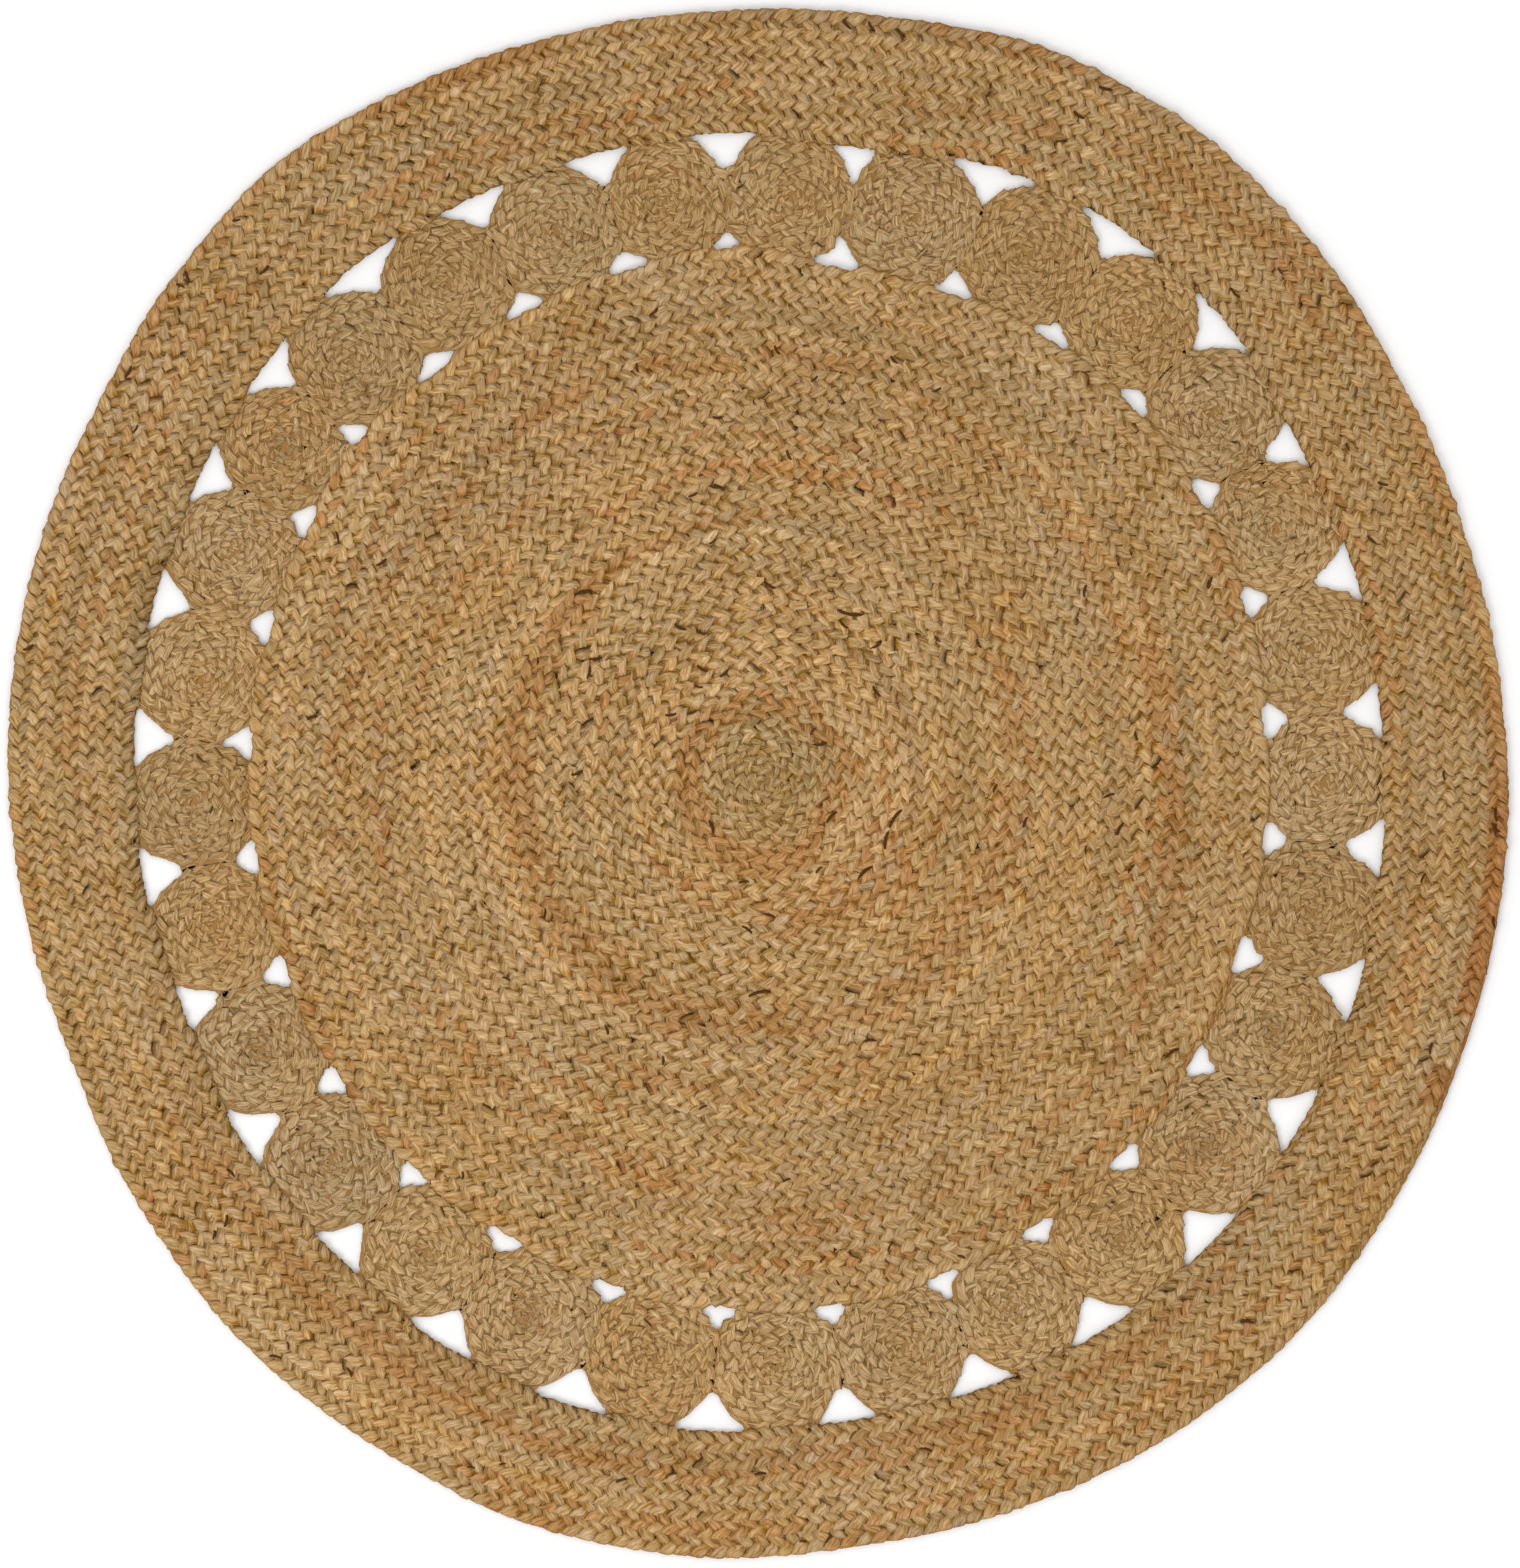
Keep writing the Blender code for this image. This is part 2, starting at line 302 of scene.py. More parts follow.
class Strand:
    """One of the three strands of a braid, as rings of points round its flattened section."""

    def __init__(self, braid, plait, number, height, rng):
        passes = np.array(plait.passes, float)
        count = int((braid.repeats[-1] - number / 3) * 2)
        self.lozenge = np.repeat(np.arange(count), len(passes))
        side_sign = np.where(self.lozenge % 2 == 0, 1, -1)
        degrees, out, level, turned, wide = np.tile(passes, (count, 1)).T
        on_top = (level > 0) & (degrees > 0)

        def uneven(amount):
            return amount * rng.standard_normal(count)[self.lozenge]

        slip = uneven(UNEVEN_SLIP) * on_top
        repeats = (self.lozenge * 180 + degrees) / 360 + number / 3 + slip
        self.along = np.interp(repeats, braid.repeats, braid.run)
        self.middle = braid.place(self.along)
        outward = braid.outward(self.along)
        row = np.interp(self.along, braid.run, braid.width)
        size = np.clip(row / braid.usual_wide, *STRAND_SIZES)
        thick = plait.strand_thick * np.clip(size, *STRAND_THICKNESSES)
        reach = row / 2 - thick / 2 + plait.overlap * size
        uneven_reach = 1 + uneven(UNEVEN_REACH) * on_top
        centre = self.middle + outward * reach * out * side_sign * uneven_reach
        rise = height / 2 - plait.strand_thick / 2
        centre_height = height / 2 + rise * level * np.clip(size, *STRAND_RISES)
        centre_height += uneven(UNEVEN_HEIGHT) * on_top
        points = np.stack([centre.real, centre.imag, centre_height], axis=1)
        turned = np.where(side_sign > 0, turned, 180 - turned) + uneven(UNEVEN_TURN_DEG) * on_top
        turned = np.radians(turned)
        leaning = outward * np.sin(turned)
        face = np.stack([leaning.real, leaning.imag, np.cos(turned)], axis=1)
        ahead = np.gradient(points, axis=0)
        ahead /= np.linalg.norm(ahead, axis=1)[:, None]
        side = np.cross(ahead, face)
        side /= np.linalg.norm(side, axis=1)[:, None]
        face = np.cross(side, ahead)
        tilt = np.radians(plait.tilt * side_sign * on_top)[:, None]
        side, face = (
            side * np.cos(tilt) - face * np.sin(tilt),
            face * np.cos(tilt) + side * np.sin(tilt),
        )
        half_wide = plait.strand_wide / 2 * size * wide * (1 + uneven(UNEVEN_WIDE))
        section = np.array(plait.section)
        self.rings = (
            points[:, None]
            + (side * half_wide[:, None])[:, None] * section[None, :, :1]
            + (face * thick[:, None] / 2)[:, None] * section[None, :, 1:]
        )
        self.rings[:, :, 2] = trodden(self.rings[:, :, 2], height)
        # Painted light and shade: lighter on top, darker low down, where it passes under and at
        # the sides.
        self.painted_top_light = np.clip((self.rings[:, :, 2] / height - PAINTED_LIGHT_FROM) / PAINTED_LIGHT_OVER, 0, 1)
        self.painted_top_light *= np.interp(abs(out), (0, UNDERPASS_REACH), (UNDERPASS_PAINTED_LIGHT, 1))[:, None]
        self.painted_top_light *= np.interp(abs(section[:, 0]), (SIDE_FROM, 1), (1, SIDE_PAINTED_LIGHT))
        self.painted_top_light **= PAINTED_SHADE_POWER * np.exp(uneven(UNEVEN_PAINTED_SHADE))[:, None]
        # Painted shadow: a few lozenges get a dark slit painted along one side.
        has_slit_shadow = rng.uniform(0, 1, count) < SLIT_SHADOW_SHARE
        slit_shadow = np.where(has_slit_shadow, rng.uniform(*SLIT_SHADOW_LIGHT, count), 1)[self.lozenge]
        slit_shadow_side = rng.choice([-1, 1], count)[self.lozenge]
        beside = np.clip(2 * slit_shadow_side[:, None] * section[:, 0] - 1, 0, 1) * on_top[:, None]
        self.painted_slit_shadow = slit_shadow[:, None] ** beside
        self.shade = np.interp(self.along, braid.run, braid.sampled(braid.shade))


def rust_share(where, eye_or_edge_mm, rusty_places):
    """The share of rusty strands at points given by bearing in degrees and millimetres out."""
    share = np.full(len(where), STRAY_RUST_SHARE)
    for rusty in rusty_places:
        part = (where - rusty.from_deg) / (rusty.to_deg - rusty.from_deg)
        off = abs(eye_or_edge_mm - (rusty.from_mm + (rusty.to_mm - rusty.from_mm) * part))
        inside = (part >= 0) & (part <= 1) & (off < rusty.wide_mm / 2)
        share = np.where(inside, np.maximum(share, rusty.share), share)
    return share


def bundle_tones(strand, share_of_rust, rng):
    """A tone for each ring of a strand, which is spun from short bundles of unlike jute."""
    length = strand.along[-1]
    joins = np.cumsum(rng.uniform(*BUNDLE_LONG, int(length / USUAL_BUNDLE_LONG) + 20))
    bundle = np.searchsorted(joins, strand.along)
    count = bundle.max() + 1
    tones, shares = zip(*BUNDLE_KINDS)
    kinds = np.array(tones)[rng.choice(len(tones), count, p=shares)]
    light, warm = rng.standard_normal((2, count, 1))
    kinds = kinds * np.exp(UNEVEN_BUNDLE * light + np.array(WARMER) * warm)
    is_rust = (rng.uniform(0, 1, count)[bundle] < share_of_rust)[:, None]
    depth = (share_of_rust**RED_RUST_POWER)[:, None]
    rust = np.array(RUST) * (1 - depth) + np.array(RED_RUST) * depth
    stray = share_of_rust[:, None] <= STRAY_RUST_SHARE
    rust = np.where(stray, (np.array(RUST) + np.array(RED_RUST)) / 2, rust)
    noise = rng.standard_normal(strand.lozenge.max() + 1)
    each_lozenge = 1 + UNEVEN_LOZENGE * noise[strand.lozenge]
    return np.where(is_rust, rust, kinds[bundle]) * (each_lozenge * strand.shade)[:, None]


UNROLLED_WIDE_MM = 22
UNROLLED_APART_MM = 50  # from strand to strand


def strand_mesh(name, strands, tones):
    """One mesh of the strands, with their ends closed.

    Its UV map unrolls each strand to its length and width, and its attribute holds the tones with
    the painted slit shadows, and the painted top light as alpha.
    """
    corners, loops, totals, unrolled, colours = [], [], [], [], []
    base = 0
    for number, (strand, tone) in enumerate(zip(strands, tones)):
        count, sides, _ = strand.rings.shape
        index = base + np.arange(count * sides).reshape(count, sides)
        following = np.roll(index, -1, axis=1)
        quads = np.stack([index[:-1], following[:-1], following[1:], index[1:]], axis=-1)
        along = strand.along[:, None]
        around = np.arange(sides + 1) / sides * UNROLLED_WIDE_MM * MM
        around = around + number * UNROLLED_APART_MM * MM
        start = np.stack(np.broadcast_arrays(along[:-1], around[:-1]), axis=-1)
        start_after = np.stack(np.broadcast_arrays(along[1:], around[:-1]), axis=-1)
        end_after = np.stack(np.broadcast_arrays(along[1:], around[1:]), axis=-1)
        end = np.stack(np.broadcast_arrays(along[:-1], around[1:]), axis=-1)
        corners.append(strand.rings.reshape(-1, 3))
        loops += [quads.ravel(), index[0][::-1], index[-1]]
        totals += [np.full((count - 1) * sides, 4), [sides], [sides]]
        unrolled.append(np.stack([start, end, end_after, start_after], axis=2).reshape(-1, 2))
        unrolled += [np.broadcast_to([[strand.along[0], around[0]]], (sides, 2))]
        unrolled += [np.broadcast_to([[strand.along[-1], around[0]]], (sides, 2))]
        # The painted slit shadows darken the tones; the painted top light goes in the alpha.
        colour = tone[:, None] * strand.painted_slit_shadow[:, :, None] ** SLIT_SHADOW_BROWN
        colours.append(np.concatenate([colour, strand.painted_top_light[:, :, None]], axis=2).reshape(-1, 4))
        base += count * sides
    mesh = bpy.data.meshes.new(name)
    corners, loops, totals = (np.concatenate(rows) for rows in (corners, loops, totals))
    mesh.vertices.add(len(corners))
    mesh.vertices.foreach_set("co", corners.astype(np.float32).ravel())
    mesh.loops.add(len(loops))
    mesh.loops.foreach_set("vertex_index", loops.astype(np.int32))
    mesh.polygons.add(len(totals))
    starts = np.cumsum(totals) - totals
    mesh.polygons.foreach_set("loop_start", starts.astype(np.int32))
    mesh.polygons.foreach_set("loop_total", totals.astype(np.int32))
    layer = mesh.uv_layers.new(name="along_strand")
    layer.data.foreach_set("uv", np.concatenate(unrolled).astype(np.float32).ravel())
    layer = mesh.attributes.new("jute_tone_and_painted_light", "FLOAT_COLOR", "POINT")
    layer.data.foreach_set("color", np.concatenate(colours).astype(np.float32).ravel())
    mesh.update(calc_edges=True)
    mesh.validate()
    mesh.shade_smooth()
    return mesh


def add_node(material, kind, settings=(), **inputs):
    """A new shader node with its settings, whose inputs are values or other nodes' outputs."""
    node = material.node_tree.nodes.new(kind)
    for setting, value in dict(settings).items():
        setattr(node, setting, value)
    for name, value in inputs.items():
        name = name.replace("_", " ")
        socket = next(s for s in node.inputs if s.name == name and s.enabled)
        if isinstance(value, bpy.types.NodeSocket):
            material.node_tree.links.new(value, socket)
        else:
            socket.default_value = value
    return node


def streaks(material, along_scale, across_scale, detail):
    """Noise drawn out along the strand: across_scale streaks to the metre."""
    uv = add_node(material, "ShaderNodeUVMap", {"uv_map": "along_strand"})
    times = {"operation": "MULTIPLY"}
    stretched = add_node(material, "ShaderNodeVectorMath", times, Vector=uv.outputs[0])
    stretched.inputs[1].default_value = (along_scale, across_scale, 1)
    position = stretched.outputs[0]
    noise = add_node(material, "ShaderNodeTexNoise", Vector=position, Scale=1.0, Detail=detail)
    return noise.outputs["Fac"]


def noise_over(material, place, scale, detail):
    """Noise that lies still in the object, scale bumps to the metre."""
    position = place.outputs["Object"]
    noise = add_node(material, "ShaderNodeTexNoise", Vector=position, Scale=scale, Detail=detail)
    return noise.outputs["Fac"]


def mixed_colour(material, factor, first, second, blend="MIX"):
    """The output of two colours, mixed or multiplied by a factor."""
    settings = {"data_type": "RGBA", "blend_type": blend}
    mix = add_node(material, "ShaderNodeMix", settings, Factor=factor, A=first, B=second)
    return next(socket for socket in mix.outputs if socket.enabled)


def weighed_sum(material, parts, start):
    """The sum of a start value and of outputs times their weights."""
    for output, weight in parts:
        added = add_node(material, "ShaderNodeMath", {"operation": "MULTIPLY_ADD"})
        material.node_tree.links.new(output, added.inputs[0])
        added.inputs[1].default_value = weight
        if isinstance(start, bpy.types.NodeSocket):
            material.node_tree.links.new(start, added.inputs[2])
        else:
            added.inputs[2].default_value = start
        start = added.outputs[0]
    return start


STREAKS_ALONG = {"fibre": 130, "thread": 60}  # to the metre
FIBRES_A_THREAD = 1.9
PATCHY = 0.22
PAINTED_TOP_MIX = 0.54
STAIN = (1.0, 0.915, 0.795, 1)
JUTE_GLOSS = 0.06


def jute(name, shadow, painted_top_light, threads, painted_shading, streaked, thready):
    """Silky jute strands, with browns drawn out in streaks.

    They are painted paler on top and a darker, redder painted shade low down where they press
    together.
    """
    material = bpy.data.materials.new(name)
    material.use_nodes = True
    shader = material.node_tree.nodes["Principled BSDF"]
    shader.inputs["Specular IOR Level"].default_value = JUTE_GLOSS
    links = material.node_tree.links
    fibre = streaks(material, STREAKS_ALONG["fibre"], threads * FIBRES_A_THREAD, 3.0)
    thread = streaks(material, STREAKS_ALONG["thread"], threads, 2.0)
    place = add_node(material, "ShaderNodeTexCoord")
    patches = noise_over(material, place, 11.0, 1.0)
    tone = add_node(material, "ShaderNodeAttribute", {"attribute_name": "jute_tone_and_painted_light"})
    # Painted light and shade: the tone's alpha mixes from the shadow colour up to the painted top
    # light colour.
    parts = [
        (tone.outputs["Alpha"], painted_shading),
        (fibre, (1 - thready) * streaked),
        (thread, thready * streaked),
        (patches, PATCHY),
    ]
    painted_light_and_streaks = weighed_sum(material, parts, PAINTED_TOP_MIX - painted_shading - streaked / 2 - PATCHY / 2)
    brown = mixed_colour(material, painted_light_and_streaks, (*shadow, 1), (*painted_top_light, 1))
    toned = mixed_colour(material, 1.0, brown, tone.outputs["Color"], "MULTIPLY")
    sunned = noise_over(material, place, 9.0, 2.0)
    redness = add_node(material, "ShaderNodeMapRange", Value=sunned, From_Min=0.3, From_Max=0.7)
    stained = mixed_colour(material, redness.outputs[0], toned, STAIN, "MULTIPLY")
    links.new(stained, shader.inputs["Base Color"])
    dull = add_node(material, "ShaderNodeMapRange", Value=fibre, To_Min=0.85, To_Max=0.6)
    links.new(dull.outputs[0], shader.inputs["Roughness"])
    ridges = add_node(material, "ShaderNodeBump", Strength=0.7, Distance=0.9 * MM, Height=thread)
    fine_ridges = add_node(
        material,
        "ShaderNodeBump",
        Strength=0.6,
        Distance=0.4 * MM,
        Height=fibre,
        Normal=ridges.outputs[0],
    )
    links.new(fine_ridges.outputs[0], shader.inputs["Normal"])
    return material


def crushed_fibre_in_painted_shade():
    """The dull fibre between the rows, which the sewing thread pulls together, darkened as painted
    shade where it shows between the strands.
    """
    material = bpy.data.materials.new("crushed_fibre_in_painted_shade")
    material.use_nodes = True
    shader = material.node_tree.nodes["Principled BSDF"]
    shader.inputs["Roughness"].default_value = 0.9
    place = add_node(material, "ShaderNodeTexCoord")
    fuzz = noise_over(material, place, 900.0, 2.0)
    brown = mixed_colour(material, fuzz, (0.20, 0.088, 0.012, 1), (0.40, 0.215, 0.062, 1))
    links = material.node_tree.links
    links.new(brown, shader.inputs["Base Color"])
    rough = add_node(material, "ShaderNodeBump", Strength=0.8, Distance=0.5 * MM, Height=fuzz)
    links.new(rough.outputs[0], shader.inputs["Normal"])
    return material


seam_fibre_in_painted_shade = crushed_fibre_in_painted_shade()
SEAM_LOW = 2.5 * MM
SEAM_HIGH = 5.9 * MM
SEAM_INSET = 4 * MM
SEAM_POINTS = 232


def seam_sheet(name, edges, low, high):
    """The thin sheet of crushed fibre and thread inside one edge, or between two, whose dark
    colour is partly painted shade.
    """
    bm = bmesh.new()
    for edge in edges:
        corners = [bm.verts.new((point.real, point.imag, low)) for point in edge]
        for corner, following in zip(corners, corners[1:] + corners[:1]):
            bm.edges.new((corner, following))
    if len(edges) > 1:
        bmesh.ops.bridge_loops(bm, edges=bm.edges)
    else:
        bmesh.ops.contextual_create(bm, geom=bm.edges)
    raised = bmesh.ops.extrude_face_region(bm, geom=bm.faces[:], use_keep_orig=True)
    lifted = [item for item in raised["geom"] if isinstance(item, bmesh.types.BMVert)]
    bmesh.ops.translate(bm, verts=lifted, vec=(0, 0, high - low))
    bmesh.ops.recalc_face_normals(bm, faces=bm.faces)
    mesh = bpy.data.meshes.new(name)
    bm.to_mesh(mesh)
    bm.free()
    mesh.materials.append(seam_fibre_in_painted_shade)
    return put_on_rug(name, mesh)


def put_on_rug(name, mesh):
    """A new piece of this mesh, which goes with the rug's one body."""
    piece = bpy.data.objects.new(name, mesh)
    bpy.context.scene.collection.objects.link(piece)
    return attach(piece, "root")


COIL_STEPS = 600


def coiled_out(turn, rows, widths, radius):
    """How far out of 1 the braid's inner side has come after so many turns of these widths."""
    out = np.linspace(0, radius, COIL_STEPS)
    turns = np.cumsum(1 / np.interp(out / MM, *np.array(widths).T))
    turns = (turns - turns[0]) / (turns[-1] - turns[0]) * rows
    return np.interp(turn, turns, out / radius)


def disc_share(turn):
    """How far out on the disc the braid's inner side has come, at first in a smooth spiral."""
    level = turn + (stepped(turn, STEP_SHARE) - turn) * np.clip(turn / DISC_ROWS, 0, 1)
    return coiled_out(level, DISC_ROWS, ROW_WIDTHS, disc_radius)


def repeat_long(line, eye, repeats):
    """The length of the braid's repeat along its line."""
    return np.interp(abs(line - eye) / MM, *np.array(repeats).T) * MM


def disc_shade(bearing, out_mm):
    """Greyer and darker at the eye, palest half-way out, with one paler row."""
    levels = np.interp(out_mm, *np.array(DISC_SHADES).T)
    greener = np.interp(out_mm, GREEN_EYE_ENDS_MM, (1, 0))
    towards = np.cos(np.radians(bearing - PALE_ROW_OFF_DEG))
    pale_row = PALE_ROW_RADIUS_MM + PALE_ROW_OFF_MM * towards
    off = abs(out_mm - pale_row)
    levels *= np.interp(off, PALE_ROW_FADES_MM, (PALE_ROW, 1))
    return levels[:, None] * np.array(GREEN_EYE) ** greener[:, None]


rng = np.random.default_rng(7)
disc_edge = widest_line("centre_disc")
ring_middle = middle_of(disc_edge)
disc_eye = DISC_EYE + ring_middle
disc_radius = np.sqrt(area_inside(disc_edge) / np.pi)
disc_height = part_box("centre_disc")[1].z
coarse_jute = jute(
    "coarse_jute",
    shadow=(0.262, 0.118, 0.002),
    painted_top_light=(0.618, 0.453, 0.264),
    threads=420,
    painted_shading=0.53,
    streaked=2.8,
    thready=0.27,
)

medallion_edges = [
    smooth_line(widest_line(f"medallion_{number:02d}"), MEDALLION_POINTS)
    for number in range(1, MEDALLIONS + 1)
]
all_medallion_edges = np.concatenate(medallion_edges)
laid_to = smooth_line(disc_edge, EDGE_POINTS)
laid_to = set_in(laid_to, all_medallion_edges, SEWN_OVERLAP, -GAP_INSET)
disc_braid = LaidBraid(
    np.full(len(laid_to), disc_eye),
    laid_to,
    disc_share,
    DISC_TURNS,
    USUAL_ROW_WIDE,
    lambda line: repeat_long(line, disc_eye, DISC_REPEATS),
    rng,
)
for number in range(3):
    strand = Strand(disc_braid, COARSE_PLAIT, number, disc_height, rng)
    bearing = np.degrees(np.angle(strand.middle - disc_eye)) % 360
    out_mm = abs(strand.middle - disc_eye) / MM
    tones = bundle_tones(strand, rust_share(bearing, out_mm, DISC_RUST), rng)
    tones = tones * disc_shade(bearing, out_mm)
    mesh = strand_mesh(f"disc_strand_{number + 1}", [strand], [tones])
    mesh.materials.append(coarse_jute)
    piece = put_on_rug(mesh.name, mesh)
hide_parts("centre_disc")
seam_edge = moved_out(smooth_line(disc_edge, SEAM_POINTS), -SEAM_INSET)
disc_seams = seam_sheet("disc_seams", [seam_edge], SEAM_LOW, SEAM_HIGH)


# --- The medallions ------------------------------------------------------------------------------
# 29 small coils of a finer braid in six turns, each sewn to the disc, to the band and to the next
# ones. They were braided one by one, so each has its own tone, and its eye lies off the middle.

MEDALLION_ROWS = 6
FINE_ROW_WIDTHS = [(0, 6), (12, 9), (28, 12.4), (70, 12.8)]
FINE_REPEATS = [(0, 26), (12, 36), (30, 53), (70, 57)]
MEDALLION_TURNS = (-0.7, MEDALLION_ROWS - 0.05)
USUAL_FINE_ROW_WIDE = 12.6 * MM
EYE_DRIFT = 0.06  # how far an eye slips along the ring, over the medallion's radius
FINE_EDGE_POINTS = 320
FINE_OVERLAP = 1.4 * MM
FINE_GAP_INSET = 2.8 * MM
FINE_SEAM_OVERLAP = 1.6 * MM
FINE_SEAM_GAP_INSET = 2.5 * MM
FINE_SEAM_REACH = (3.2 * MM, 4.6 * MM)
FINE_SEAM_POINTS = 128
FINE_SEAM_LOW = 1.8 * MM
FINE_SEAM_HIGH = 4.4 * MM

USUAL_TONE = (0.98, 1.00, 1.03)
UNEVEN_TONE = 0.012
EVENED_BUNDLES = 0.4  # a power, because the fine braid's bundles differ less

# Which medallions are so, by their numbers, and how their tones differ.
GREYEST = (3, 6, 13, 17, 18, 20, 23, 26, 29)
BROWNEST = (4, 5, 7, 8, 10, 16, 21, 25, 28)
PALEST = (1, 13, 14, 19, 20, 21, 22, 25, 29)
DARKEST = (5, 9, 10, 11, 15, 17, 18, 28)
DARK_EYED = (12, 17, 19, 20, 25, 26, 27)
GREYER = (1.00, 1.02, 1.08)
BROWNER = (1.00, 0.98, 0.94)
PALER = 1.035
DARKER = 0.95
DARK_EYE = 0.85
USUAL_EYE = 1.03
EYE_FADES_MM = (9, 24)

FINE_PASS = [
    Ring(degrees=0, out=0.00, height=0.40, turned=180, wide=0.90),
    Ring(degrees=50, out=0.62, height=-1, turned=180, wide=0.90),
    Ring(degrees=86, out=0.98, height=-0.1, turned=100, wide=0.75),
    Ring(degrees=110, out=0.83, height=0.9, turned=15, wide=1.00),
    Ring(degrees=155, out=0.43, height=1, turned=0, wide=1.05),
]
TWO_THREADS = [(-1, 0.1), (-0.55, 0.85), (0, 0.25), (0.55, 0.85), (1, 0.1), (0, -1)]
FINE_PLAIT = Plait(
    strand_wide=9.6 * MM,
    strand_thick=2.8 * MM,
    overlap=2.0 * MM,
    tilt=4,
    section=TWO_THREADS,
    passes=FINE_PASS,
)

ring_edges = widest_line("outer_band")
between_edges = (abs(ring_edges).min() + abs(ring_edges).max()) / 2
band_edge = ring_edges[abs(ring_edges) < between_edges]
sewn_to = np.concatenate([smooth_line(line, 2 * EDGE_POINTS) for line in (disc_edge, band_edge)])
fine_jute = jute(
    "fine_jute",
    shadow=(0.205, 0.090, 0.003),
    painted_top_light=(0.655, 0.462, 0.246),
    threads=430,
    painted_shading=0.15,
    streaked=3.2,
    thready=0.40,
)
for number in range(1, MEDALLIONS + 1):
    node = f"medallion_{number:02d}"
    edge = widest_line(node)
    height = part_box(node)[1].z
    radius = np.sqrt(area_inside(edge) / np.pi)
    from_ring = middle_of(edge) - ring_middle
    along_ring = 1j * from_ring / abs(from_ring)
    eye = middle_of(edge) + along_ring * radius * EYE_DRIFT * np.sin(number * number)
    neighbours = [medallion_edges[number - 2], medallion_edges[number % MEDALLIONS]]
    beside = np.concatenate([*neighbours, sewn_to])
    laid_to = set_in(smooth_line(edge, FINE_EDGE_POINTS), beside, FINE_OVERLAP, -FINE_GAP_INSET)
    braid = LaidBraid(
        np.full(len(laid_to), eye),
        laid_to,
        lambda turn: coiled_out(turn, MEDALLION_ROWS, FINE_ROW_WIDTHS, radius),
        MEDALLION_TURNS,
        USUAL_FINE_ROW_WIDE,
        lambda line: repeat_long(line, eye, FINE_REPEATS),
        rng,
    )
    strands = [Strand(braid, FINE_PLAIT, strand_number, height, rng) for strand_number in range(3)]
    own_tone = np.array(USUAL_TONE) * np.exp(rng.normal(0, UNEVEN_TONE))
    if number in GREYEST:
        own_tone = own_tone * GREYER
    if number in BROWNEST:
        own_tone = own_tone * BROWNER
    if number in PALEST:
        own_tone = own_tone * PALER
    if number in DARKEST:
        own_tone = own_tone * DARKER
    eye_tone = DARK_EYE if number in DARK_EYED else USUAL_EYE
    tones = []
    for strand in strands:
        tone = bundle_tones(strand, np.full(len(strand.along), STRAY_RUST_SHARE), rng)
        tone = tone**EVENED_BUNDLES * own_tone
        near_eye = np.interp(abs(strand.middle - eye) / MM, EYE_FADES_MM, (eye_tone, 1))
        tones.append(tone * near_eye[:, None])
    mesh = strand_mesh(f"{node}_braid", strands, tones)
    mesh.materials.append(fine_jute)
    piece = put_on_rug(mesh.name, mesh)
    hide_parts(node)
    seam_edge = set_in(
        smooth_line(edge, FINE_SEAM_POINTS),
        beside,
        FINE_SEAM_OVERLAP,
        -FINE_SEAM_GAP_INSET,
        FINE_SEAM_REACH,
    )
    seams = seam_sheet(f"{node}_seams", [seam_edge], FINE_SEAM_LOW, FINE_SEAM_HIGH)


# --- The outer band ------------------------------------------------------------------------------
# The same coarse braid, laid round the ring of medallions in seven rows and sewn edge to edge.
# Its outermost row is the rustiest, at the right.

BAND_ROWS = 7
BAND_TURNS = (-0.17, BAND_ROWS - 0.03)
BAND_REPEAT = 48 * MM
USUAL_BAND_ROW_WIDE = 17.6 * MM
RIM_INSET = 3.6 * MM
BAND_SHADE = 0.98
RIM_SHADE = 0.94
RIM_FADES_MM = (108, 122)
BAND_RUST = [
    Rusty(192, 215, 42, 42, 20, 0.45),
    Rusty(215, 260, 38, 38, 34, 0.75),
    Rusty(255, 318, 32, 30, 30, 0.60),
    Rusty(55, 80, 48, 48, 26, 0.40),
    Rusty(105, 125, 32, 32, 30, 0.40),
    Rusty(130, 155, 50, 75, 40, 0.40),
    Rusty(160, 180, 60, 60, 20, 0.40),
    Rusty(42, 62, 85, 90, 36, 0.45),
    Rusty(245, 285, 98, 98, 28, 0.50),
    Rusty(334, 360, 114, 114, 20, 1.00),
    Rusty(0, 8, 114, 114, 20, 0.96),
    Rusty(8, 40, 114, 114, 18, 0.65),
    Rusty(100, 150, 116, 116, 14, 0.35),
    Rusty(330, 350, 55, 45, 30, 0.35),
]


def band_share(turn):
    """How far across the band the braid's inner side has come."""
    return np.clip(stepped(turn, STEP_SHARE) / BAND_ROWS, 0, 1)


